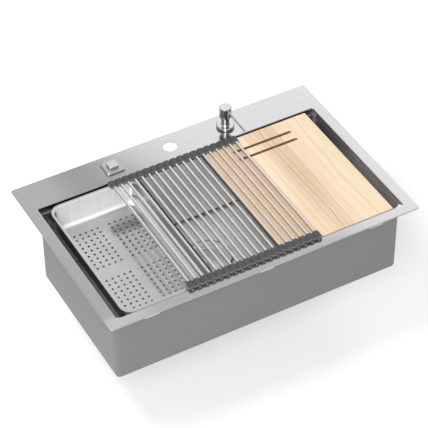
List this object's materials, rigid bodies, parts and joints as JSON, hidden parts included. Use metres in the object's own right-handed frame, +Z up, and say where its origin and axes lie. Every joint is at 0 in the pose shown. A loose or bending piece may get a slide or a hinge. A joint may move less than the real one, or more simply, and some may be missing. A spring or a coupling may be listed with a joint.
{
  "type": "workstation kitchen sink",
  "caption": "Drop-in rectangular steel sink with stepped ledges carrying a colander, cutting board and roll-up rack, with drain control and soap dispenser.",
  "frame": {"origin": "centre of the rim's outline, on the worktop's upper surface, where the rim rests", "axes": "+X to the right along the front edge, +Y to the back towards the tap deck, +Z up"},
  "size_m": [0.8, 0.52, 0.45],
  "materials": {
    "sink_steel": "brushed",
    "insert_steel": "satin",
    "bracket_steel": "zinc plated",
    "bright_metal": "polished",
    "rubber": "matte",
    "silicone": "matte",
    "plastic": "matte",
    "board_wood": "oiled"
  },
  "bodies": {
    "sink": {"deck_rim": "sink_steel", "bowl": "sink_steel", "rim_seal": "rubber", "clip_brackets": "bracket_steel", "clip_hooks": "bracket_steel", "clip_screws": "bracket_steel", "drain_flange_seal": "rubber", "drain_body": "insert_steel", "drain_washer": "rubber", "drain_friction_ring": "plastic", "drain_locknut": "bracket_steel", "tail_washer": "rubber", "tailpiece": "bright_metal", "slip_nut": "bright_metal", "control_plate": "insert_steel", "control_sleeve": "plastic", "control_washer": "rubber", "control_nut": "plastic", "control_housing": "rubber", "cable_glands": "rubber", "dispenser_base": "bright_metal", "dispenser_shank": "plastic", "dispenser_washer": "rubber", "dispenser_nut": "plastic", "pump_cylinder": "plastic", "pump_spring": "bracket_steel", "dip_tube": "plastic", "dispenser_bottle": "plastic"},
    "basket": {"strainer_basket": "insert_steel", "basket_seal": "rubber", "basket_knob": "insert_steel", "lift_pin": "bracket_steel"},
    "control": {"control_knob": "bright_metal", "control_spindle": "bracket_steel"},
    "pump": {"pump_plunger": "plastic"},
    "spout": {"pump_head": "bright_metal"},
    "colander": {"colander_pan": "insert_steel", "colander_floor": "insert_steel"},
    "board": {"cutting_board": "board_wood"},
    "rack": {"rack_rods": "bright_metal", "rack_front_grips": "silicone", "rack_back_grips": "silicone"},
    "rack_link_4": {"rack_rod_4": "bright_metal", "rack_grips_4": "silicone"},
    "rack_link_3": {"rack_rod_3": "bright_metal", "rack_grips_3": "silicone"},
    "rack_link_2": {"rack_rod_2": "bright_metal", "rack_grips_2": "silicone"},
    "rack_link_1": {"rack_rod_1": "bright_metal", "rack_grips_1": "silicone"}
  },
  "joints": [
    {"name": "control_turn", "type": "hinge", "parent": "sink", "child": "control", "pos_m": [-0.155, 0.2155, 0.0085], "axis": [0, 0, 1], "range_deg": [0, 90]},
    {"name": "basket_lift", "type": "slide", "parent": "sink", "child": "basket", "axis": [0, 0, 1], "range_m": [0, 0.01]},
    {"name": "pump_press", "type": "slide", "parent": "sink", "child": "pump", "axis": [0, 0, -1], "range_m": [0, 0.012], "stiffness_N_per_m": 400, "springref_m": -0.01, "deforming": ["pump_spring"]},
    {"name": "spout_swivel", "type": "hinge", "parent": "pump", "child": "spout", "pos_m": [0.152, 0.2155, 0.0355], "axis": [0, 0, 1], "continuous": true},
    {"name": "colander_slide", "type": "slide", "parent": "sink", "child": "colander", "axis": [1, 0, 0], "range_m": [-0.019, 0.083]},
    {"name": "board_slide", "type": "slide", "parent": "sink", "child": "board", "axis": [1, 0, 0], "range_m": [-0.083, 0.02]},
    {"name": "rack_slide", "type": "slide", "parent": "sink", "child": "rack", "axis": [1, 0, 0], "range_m": [-0.15, 0.15]},
    {"name": "rack_curl_1", "type": "hinge", "parent": "rack", "child": "rack_link_4", "pos_m": [-0.12095, -0.036, 0.0096], "axis": [0, 1, 0], "range_deg": [0, 45]},
    {"name": "rack_curl_2", "type": "hinge", "parent": "rack_link_4", "child": "rack_link_3", "pos_m": [-0.13915, -0.036, 0.0096], "axis": [0, 1, 0], "range_deg": [0, 45]},
    {"name": "rack_curl_3", "type": "hinge", "parent": "rack_link_3", "child": "rack_link_2", "pos_m": [-0.15735, -0.036, 0.0096], "axis": [0, 1, 0], "range_deg": [0, 45]},
    {"name": "rack_curl_4", "type": "hinge", "parent": "rack_link_2", "child": "rack_link_1", "pos_m": [-0.17555, -0.036, 0.0096], "axis": [0, 1, 0], "range_deg": [0, 45]}
  ],
  "couplings": [
    {"joint": "control_turn", "follows": "basket_lift", "rad_per_m": 157.07},
    {"joint": "rack_curl_2", "follows": "rack_curl_1", "ratio": 1},
    {"joint": "rack_curl_3", "follows": "rack_curl_1", "ratio": 1},
    {"joint": "rack_curl_4", "follows": "rack_curl_1", "ratio": 1}
  ]
}
